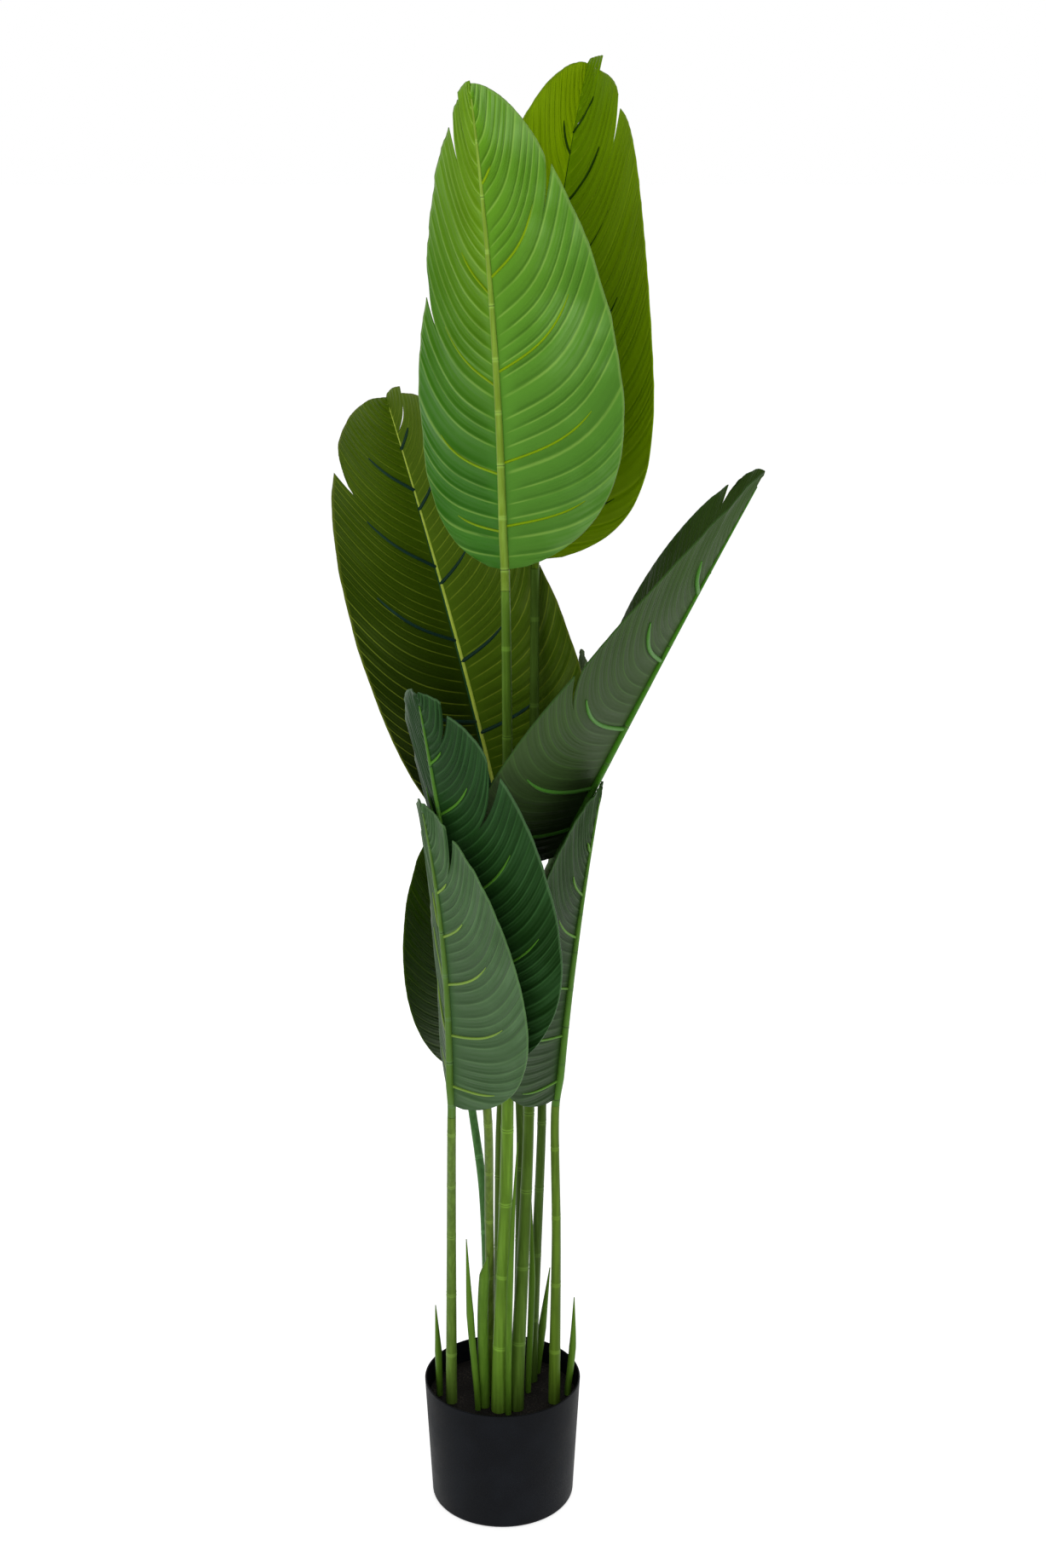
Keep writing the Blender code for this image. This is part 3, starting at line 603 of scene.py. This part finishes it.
def leafFinish(name, leaf, seed):
    look = leafLooks[name]
    material, tree, shader = newFinish(name + "Leaf", look["roughness"], 0.2, look["tint"])
    across, station, unused = Wire.add(tree, "ShaderNodeUVMap", {"uv_map": "leafMap"}).split()
    vein = across.abs()
    onRight = across > 0.0
    phase = pleatPhase(tree, station, leaf["length"] / leaf["pleat"][0], seed)
    ridge = ridgeOf(phase)
    place = objectPlace(tree)
    mottle = cloud(tree, place, 14.0, 3.0)
    streaks = cloud(tree, joined(tree, across * 1.6, station * 90.0, seed), 1.0, 2.0)
    up = station.smooth(0.1, 0.95)
    leftHalf, rightHalf = (up.between(*(paint(*colour) for colour in look[side])) for side in ("left", "right"))
    colour = onRight.between(leftHalf, rightHalf)
    # painted sheen: a pale highlight mixed into the outer part of one half of the leaf, broken up by the mottle and
    # streaks
    paintedSheenSide = onRight if look["paintedSheenSide"] > 0 else 1.0 - onRight
    paintedSheen = vein.smooth(0.3, 0.95) * (paintedSheenSide * 0.75 + 0.25) * mottle.smooth(0.35, 0.65) * streaks.smooth(0.3, 0.6)
    colour = (paintedSheen * look["paintedSheenShare"]).between(colour, paint(*look["paintedSheen"]))
    # painted shade: the colour darkens across each pleat like a facet turned away from the light
    slope = phase.math("FRACT")                      # a pleat darkens from one crest to the next
    colour = (slope.smooth(1.0, 0.15) * vein.smooth(0.02, 0.2) * look["shade"]).between(
        colour, colour.scaled(0.45))
    # pale lines on the pleat crests: partly the veins' own colour and partly a painted highlight where the crests
    # catch the light
    line = ridge.smooth(0.66, 0.96) * vein.smooth(0.02, 0.1) * streaks.smooth(0.2, 0.6)
    colour = (line * look["lineShare"]).between(colour, paint(*look["line"]))
    # a pale line along the margin; on the middle leaf it is a painted glint along the folded edge
    colour = (vein.smooth(0.98, 0.992) * 0.6).between(colour, paint(*look["margin"]))
    feed(shader, "Base Color", colour.scaled(0.84 + mottle * 0.32))
    feed(shader, "Roughness", look["roughness"] + (mottle - 0.5) * 0.25 + (streaks - 0.5) * 0.15)
    fine = (phase * (math.pi * 6.0)).sin() * vein.smooth(0.1, 0.4)
    feed(shader, "Normal", bump(tree, fine * 0.3 + streaks, 0.0005))
    return material


def rodFinish(name, colour, ringColour, roughness):
    material, tree, shader = newFinish(name, roughness, 0.2, (0.5, 0.8, 0.15))
    place = objectPlace(tree)
    away = Wire.add(tree, "ShaderNodeAttribute", {"attribute_name": "ringAway"}, out="Fac")
    mottle = cloud(tree, place, 30.0, 3.0)
    x, y, z = place.split()
    streaks = cloud(tree, joined(tree, x * 260.0, y * 260.0, z * 9.0), 1.0, 3.0)
    body = (streaks.smooth(0.3, 0.75) * 0.35).between(paint(*colour), paint(*ringColour))
    body = ((1.0 - away.smooth(0.0008, 0.0035)) * 0.55).between(body, paint(*ringColour))
    body = ((1.0 - away.smooth(0.0002, 0.0009)) * 0.75).between(body, paint(*(part * 0.35 for part in colour)))
    feed(shader, "Base Color", body.scaled(0.8 + mottle * 0.4))
    feed(shader, "Roughness", roughness + (mottle - 0.5) * 0.3)
    feed(shader, "Normal", bump(tree, streaks, 0.0004))
    return material


# Leaves, with their midribs and ribs

ribShape = {
    "taper": (1.0, 0.8, 0.3), "lift": 0.4, "tipCurl": 0.006, "steps": 12, "stepLength": 0.002,
    "midribEnd": 0.97, "midribRadius": (0.0047, 0.0031, 0.0009), "midribOut": 0.6, "midribSettle": 0.07,
    "midribRings": 0.052, "swell": 0.05,
}

frontStrips = {                                      # over an upper side's midrib: place, radii, colour, lighter
    "top_back": ((0.0, (0.0026, 0.0019, 0.0006), (26, 56, 4), (44, 76, 8)),),
    "upper_left": ((0.013, (0.0036, 0.0026, 0.0009), (176, 196, 70), (214, 222, 120)),
                   # the dark teal strip left of the midrib is painted shade of the groove beside it
                   (-0.013, (0.0027, 0.0019, 0.0007), (24, 64, 38), (52, 98, 62))),
    "low_left": ((0.0, (0.0022, 0.0016, 0.0006), (40, 66, 10), (66, 92, 20)),),
    "rear": ((0.0, (0.0022, 0.0016, 0.0006), (32, 56, 14), (56, 84, 24)),),
}


def ribLines(leaf):
    outward = ribShape["lift"] * leaf["ribRadius"]
    lines = []
    for side, station, end in leaf["ribs"]:
        parts = [index / ribShape["steps"] for index in range(ribShape["steps"] + 1)]
        lines.append([(side * (0.001 + end * part), station + ribShape["tipCurl"] * part ** 3, outward)
                      for part in parts])
    return lines


def midribLine(leaf):
    outward = 1.0 if leaf["undersideFront"] else -1.0
    foot, middle, tip = ribShape["midribRadius"]
    start = -leaf["stalk"] / leaf["length"]
    line = []
    for index in range(rodShape["patternSteps"] + 1):
        station = start + (ribShape["midribEnd"] - start) * index / rodShape["patternSteps"]
        radius = foot + (tip - foot) * max(station, 0.0)
        settled = min(max(station / ribShape["midribSettle"], 0.0), 1.0)
        line.append((0.0, station, outward * radius * ribShape["midribOut"] * settled))
    return line


def makeLeaf(name, leaf, seed, trees):
    path, direction = leafPath(name + "Path", leaf)
    bend = bendValues(leaf, path, seed)
    blade = flatPattern("leaf_" + name + "_blade", leaf)
    finish = leafFinish(name, leaf, seed)
    grow(blade, trees["blade"], {**bend, "Material": finish})
    solid = blade.modifiers.new("thickness", "SOLIDIFY")
    solid.thickness = leafShape["thickness"]
    solid.offset = 0.0
    blade = bake(blade)
    settle(blade, "leaf_" + name, "leaf_" + name)

    look = leafLooks[name]
    foot, middle, tip = ribShape["midribRadius"]
    midrib = wires("leaf_" + name + "_midrib", [midribLine(leaf)])
    grow(midrib, trees["veinRod"], {
        **bend, "Foot radius": foot, "Middle radius": middle, "Tip radius": tip, "Middle place": 0.5,
        "Ring spacing": ribShape["midribRings"], "Ring start": leaf["stalk"], "Ring swell": ribShape["swell"],
        "Step length": 0.0015, "Sides": 14, "Pleat depth": 0.0,
        "Material": rodFinish(name + "Midrib", look["midrib"], look["line"], 0.45)})
    settle(bake(midrib), "leaf_" + name)

    for index, (offset, radii, colour, lighter) in enumerate(frontStrips.get(name, ())):
        line = [(offset, ribShape["midribEnd"] * (step + 1) / rodShape["patternSteps"], 0.0)
                for step in range(rodShape["patternSteps"])]
        strip = wires("leaf_" + name + "_strip" + str(index), [line])
        grow(strip, trees["veinRod"], {
            **bend, "Foot radius": radii[0], "Middle radius": radii[1], "Tip radius": radii[2],
            "Middle place": 0.5, "Ring spacing": 9.0, "Ring start": 4.0, "Ring swell": 0.0,
            "Step length": ribShape["stepLength"], "Sides": 10, "Pleat depth": 0.0,
            "Material": rodFinish(name + "Strip" + str(index), colour, lighter, 0.5)})
        settle(bake(strip), "leaf_" + name)

    foot, middle, tip = (leaf["ribRadius"] * share for share in ribShape["taper"])
    ribs = wires("leaf_" + name + "_ribs", ribLines(leaf))
    grow(ribs, trees["veinRod"], {
        **bend, "Foot radius": foot, "Middle radius": middle, "Tip radius": tip, "Middle place": 0.8,
        "Ring spacing": 9.0, "Ring start": 4.0, "Ring swell": 0.0, "Step length": ribShape["stepLength"],
        "Sides": 8, "Material": rodFinish(name + "Ribs", look["rib"], look["rib"], 0.45)})
    settle(bake(ribs), "leaf_" + name)
    bpy.data.objects.remove(path, do_unlink=True)
    return direction


# Stems and shoots

stems = {                                            # foot, a point on the way, radius at both, first joint, spacing
    "top_front": dict(foot=(-0.0036, -0.032), through=(0.0065, -0.052, 0.485), radius=(0.0096, 0.0070),
                      rings=(0.085, 0.0935), colour=(80, 112, 32)),
    "top_back": dict(foot=(0.0165, -0.029), through=(0.030, -0.010, 0.464), radius=(0.0087, 0.0062),
                     rings=(0.085, 0.0935), colour=(58, 82, 24)),
    "upper_left": dict(foot=(-0.0045, 0.030), through=(-0.003, 0.037, 0.420), radius=(0.0060, 0.0052),
                       rings=(0.085, 0.090), colour=(52, 74, 20)),
    "right": dict(foot=(0.035, 0.032), through=(0.045, 0.006, 0.456), radius=(0.0062, 0.0051),
                  rings=(0.085, 0.088), colour=(50, 72, 22)),
    "middle": dict(foot=(-0.015, 0.002), through=(-0.014, -0.048, 0.366), radius=(0.0058, 0.0050),
                   rings=(0.085, 0.088), colour=(66, 86, 24)),
    "low_front": dict(foot=(-0.0595, -0.015), through=(-0.0565, -0.055, 0.359), radius=(0.0066, 0.0053),
                      rings=(0.068, 0.086), colour=(68, 92, 30)),
    "low_right": dict(foot=(0.0605, -0.015), through=(0.062, -0.020, 0.341), radius=(0.0070, 0.0052),
                      rings=(0.068, 0.087), colour=(66, 90, 22)),
    "low_left": dict(foot=(-0.0185, 0.052), through=(-0.0235, 0.095, 0.338), radius=(0.0058, 0.0052),
                     rings=(0.085, 0.088), colour=(58, 96, 50)),
    "rear": dict(foot=(0.018, 0.054), through=(0.021, 0.068, 0.417), radius=(0.0058, 0.0047),
                 rings=(0.085, 0.088), colour=(48, 70, 22)),
}

shoots = {
    "far_left": dict(foot=(-0.074, 0.000), through=(-0.075, -0.002, 0.183), tip=(-0.0775, -0.004, 0.244),
                     radius=(0.0038, 0.0042)),
    "left": dict(foot=(-0.0284, -0.032), through=(-0.0365, -0.040, 0.253), tip=(-0.040, -0.045, 0.350),
                 radius=(0.0034, 0.0043)),
    "sheath": dict(foot=(-0.0208, -0.024), through=(-0.0197, -0.0465, 0.305), tip=(-0.0155, -0.050, 0.331),
                   radius=(0.0066, 0.0061)),
    "middle": dict(foot=(0.007, -0.0412), through=(0.0095, -0.055, 0.307), tip=(0.018, -0.056, 0.474),
                   radius=(0.0036, 0.0038)),
    "rear": dict(foot=(0.030, 0.006), through=(0.0345, 0.010, 0.271), tip=(0.0335, 0.014, 0.367),
                 radius=(0.0035, 0.0040)),
    "right": dict(foot=(0.041, 0.050), through=(0.047, 0.042, 0.190), tip=(0.0555, 0.030, 0.274),
                  radius=(0.0045, 0.0048)),
    "far_right": dict(foot=(0.0765, 0.001), through=(0.082, 0.001, 0.187), tip=(0.0835, 0.001, 0.2515),
                      radius=(0.0038, 0.0042)),
}

stemShape = {
    "stalkRadius": 0.0047, "pull": 0.6, "shootPull": 0.5, "steps": 40, "clearance": 0.0003, "swell": 0.06,
    "stepLength": 0.0014, "sides": 16, "shootTip": 0.0006,
}


def bezier(start, startPull, end, endPull, steps):
    points = []
    for index in range(steps + 1):
        part = index / steps
        rest = 1.0 - part
        points.append(start * rest ** 3 + (start + startPull / 3.0) * (3.0 * rest ** 2 * part)
                      + (end - endPull / 3.0) * (3.0 * rest * part ** 2) + end * part ** 3)
    return points


def twoSpans(knots, footPull, lastDirection, lastPull):
    first, second = knots[1] - knots[0], knots[2] - knots[1]
    middle = (first.normalized() + second.normalized()).normalized()
    up = Vector((0.0, 0.0, first.length * footPull))
    lower = bezier(knots[0], up, knots[1], middle * first.length, stemShape["steps"])
    upper = bezier(knots[1], middle * second.length, knots[2], lastDirection * second.length * lastPull,
                   stemShape["steps"])
    return lower + upper[1:], first.length / (first.length + second.length)


def makeRod(name, line, middlePlace, radii, rings, swell, finish, slotName, tree, node):
    rod = wires(name, [line])
    grow(rod, tree, {
        "Foot radius": radii[0], "Middle radius": radii[1], "Tip radius": radii[2], "Middle place": middlePlace,
        "Ring start": rings[0], "Ring spacing": rings[1], "Ring swell": swell, "Sides": stemShape["sides"],
        "Step length": stemShape["stepLength"], "Material": finish})
    settle(bake(rod), slotName, node)


def makeStem(name, stem, leaf, direction, fillTop, tree):
    knots = (Vector((*stem["foot"], fillTop + stemShape["clearance"])), Vector(stem["through"]),
             Vector(leaf["base"]) - direction * (leaf["stalk"] + stemShape["clearance"]))
    line, middle = twoSpans(knots, stemShape["pull"], direction, stemShape["pull"])
    lighter = tuple(min(part * 1.35 + 18, 255) for part in stem["colour"])
    finish = rodFinish(name + "Stem", stem["colour"], lighter, 0.45)
    makeRod("stem_" + name + "_stalk", line, middle, (*stem["radius"], stemShape["stalkRadius"]), stem["rings"],
            stemShape["swell"], finish, "stem", tree, "stem_" + name)


def makeShoot(name, shoot, fillTop, finish, tree):
    knots = (Vector((*shoot["foot"], fillTop + stemShape["clearance"])), Vector(shoot["through"]),
             Vector(shoot["tip"]))
    line, middle = twoSpans(knots, stemShape["shootPull"], (knots[2] - knots[1]).normalized(), 1.0)
    makeRod("shoot_" + name + "_bud", line, middle, (*shoot["radius"], stemShape["shootTip"]), (4.0, 9.0), 0.0,
            finish, "shoot", tree, "shoot_" + name)


# Pot and fill

potShape = {
    "height": 0.151, "rimRadius": 0.091, "baseRadius": 0.083, "wall": 0.0022, "floor": 0.003, "corner": 0.0045,
    "fillBelowRim": 0.027, "sides": 128, "roundSteps": 6,
}


def turned(name, profile, finish):                   # a round body from an (out, up) profile, top to bottom
    work = bmesh.new()
    verts = [work.verts.new((out, 0.0, up)) for out, up in profile]
    edges = [work.edges.new(pair) for pair in zip(verts, verts[1:])]
    bmesh.ops.spin(work, geom=verts + edges, cent=(0, 0, 0), axis=(0, 0, 1), angle=math.tau,
                   steps=potShape["sides"], use_merge=True)
    bmesh.ops.remove_doubles(work, verts=work.verts, dist=0.00001)
    bmesh.ops.recalc_face_normals(work, faces=work.faces)
    for face in work.faces:
        face.smooth = True
    body = meshPiece(name, work)
    body.data.set_sharp_from_angle(angle=0.9)
    body.data.materials.append(finish)
    return body


def arc(centre, radius, start, end, steps):
    angles = [math.radians(start + (end - start) * index / steps) for index in range(steps + 1)]
    return [(centre[0] + radius * math.cos(angle), centre[1] + radius * math.sin(angle)) for angle in angles]


def wallRadius(height):
    return potShape["baseRadius"] + (potShape["rimRadius"] - potShape["baseRadius"]) * height / potShape["height"]


def makePot():
    shape = potShape
    material, tree, shader = newFinish("potPlastic", 0.5, 0.07)
    place = objectPlace(tree)
    mottle = cloud(tree, place, 24.0, 4.0)
    grain = cloud(tree, place, 900.0, 2.0)
    feed(shader, "Base Color", (mottle.smooth(0.35, 0.75) * 0.6).between(paint(9, 11, 15), paint(19, 22, 27)))
    feed(shader, "Roughness", 0.5 + (mottle - 0.5) * 0.3)
    feed(shader, "Normal", bump(tree, grain, 0.0003))
    half = shape["wall"] / 2.0
    top = (shape["rimRadius"] - half, shape["height"] - half)
    corner = shape["corner"]
    profile = arc(top, half, 180, 0, shape["roundSteps"])
    profile += arc((wallRadius(corner) - corner, corner), corner, 0, -90, shape["roundSteps"])
    profile += [(0.0, 0.0), (0.0, shape["floor"])]
    inner = (wallRadius(shape["floor"] + corner) - shape["wall"] - corner, shape["floor"] + corner)
    profile += arc(inner, corner, -90, 0, shape["roundSteps"])
    profile += [profile[0]]
    settle(turned("pot_shell", profile, material), "pot", "pot")


def makeFill():
    shape = potShape
    top = shape["height"] - shape["fillBelowRim"]
    inset = shape["wall"] + stemShape["clearance"]
    material, tree, shader = newFinish("fillFelt", 0.95, 0.2)
    place = objectPlace(tree)
    fibres = cloud(tree, place, 420.0, 4.0)
    patches = cloud(tree, place, 40.0, 3.0)
    feed(shader, "Base Color", (fibres.smooth(0.45, 0.75) * patches.smooth(0.3, 0.7)).between(
        paint(22, 19, 17), paint(64, 58, 52)))
    feed(shader, "Normal", bump(tree, fibres, 0.0015))
    bottom = shape["floor"] + stemShape["clearance"]
    corner = shape["corner"]
    profile = [(0.0, top), (wallRadius(top) - inset, top)]
    profile += arc((wallRadius(bottom + corner) - inset - corner, bottom + corner), corner, 0, -90,
                   shape["roundSteps"])
    profile += [(0.0, bottom)]
    settle(turned("fill_felt", profile, material), "fill", "fill")
    return top


# Floor, light and camera

studio = {
    "cameraPlace": (0.024, -2.273, 1.515), "cameraTilt": 74.2, "lens": 50.0, "longSide": 36.0,
    "clipEnd": 1000.0, "floorSide": 400.0, "floor": (250, 250, 249), "floorGlow": 0.62,
    "skyGlow": (0.4, 1.0), "skyBand": (0.1, 0.5),
    "lights": (((-1.2, -3.4, 2.6), 3.0, 36.0), ((1.6, -3.2, 1.8), 3.0, 26.0), ((0.3, 1.8, 3.2), 2.2, 18.0)),
    "aim": (0.0, 0.0, 0.85),
}


def makeStudio():
    scene = bpy.context.scene
    camera = bpy.data.cameras.new("camera")
    camera.lens = studio["lens"]
    camera.sensor_width = studio["longSide"]
    camera.clip_end = studio["clipEnd"]
    holder = linked("camera", camera)
    holder.location = studio["cameraPlace"]
    holder.rotation_euler = (math.radians(studio["cameraTilt"]), 0.0, 0.0)
    scene.camera = holder

    work = bmesh.new()
    bmesh.ops.create_grid(work, x_segments=1, y_segments=1, size=studio["floorSide"] / 2.0)
    floor = meshPiece("floor", work)
    material, tree, shader = newFinish("paleFloor", 0.9, 0.1)
    dust = cloud(tree, objectPlace(tree), 3.0, 4.0)
    feed(shader, "Base Color", dust.between(paint(*studio["floor"]), paint(242, 242, 241)))
    shader.inputs["Emission Color"].default_value = (1.0, 1.0, 1.0, 1.0)
    shader.inputs["Emission Strength"].default_value = studio["floorGlow"]
    floor.data.materials.append(material)

    world = bpy.data.worlds.new("paleStudio")
    world.use_nodes = True
    tree = world.node_tree
    east, north, up = Wire.add(tree, "ShaderNodeTexCoord", out="Generated").split()
    low, high = studio["skyGlow"]
    glow = low + (1.0 - up.abs().smooth(*studio["skyBand"])) * (high - low)
    tree.links.new(glow.socket, tree.nodes["Background"].inputs["Strength"])
    tree.nodes["Background"].inputs["Color"].default_value = (1.0, 1.0, 1.0, 1.0)
    scene.world = world
    for index, (place, size, power) in enumerate(studio["lights"]):
        light = bpy.data.lights.new("softLight" + str(index), "AREA")
        light.size = size
        light.energy = power
        holder = linked(light.name, light)
        holder.location = place
        holder.rotation_euler = (Vector(studio["aim"]) - Vector(place)).to_track_quat("-Z", "Y").to_euler()
    scene.view_settings.view_transform = "Standard"


def main():
    makeStudio()
    print("camera, floor and light placed")
    makePot()
    fillTop = makeFill()
    print("pot and fill made")
    trees = {"blade": buildBladeTree(), "veinRod": buildRodTree("veinRod", True),
             "stemRod": buildRodTree("stemRod", False)}
    for seed, (name, leaf) in enumerate(leaves.items()):
        direction = makeLeaf(name, leaf, float(seed), trees)
        makeStem(name, stems[name], leaf, direction, fillTop, trees["stemRod"])
        print("leaf and stem made:", name)
    shootFinish = rodFinish("shootPlastic", (64, 96, 24), (96, 130, 44), 0.45)
    for name, shoot in shoots.items():
        makeShoot(name, shoot, fillTop, shootFinish, trees["stemRod"])
    print("shoots made:", len(shoots))


main()
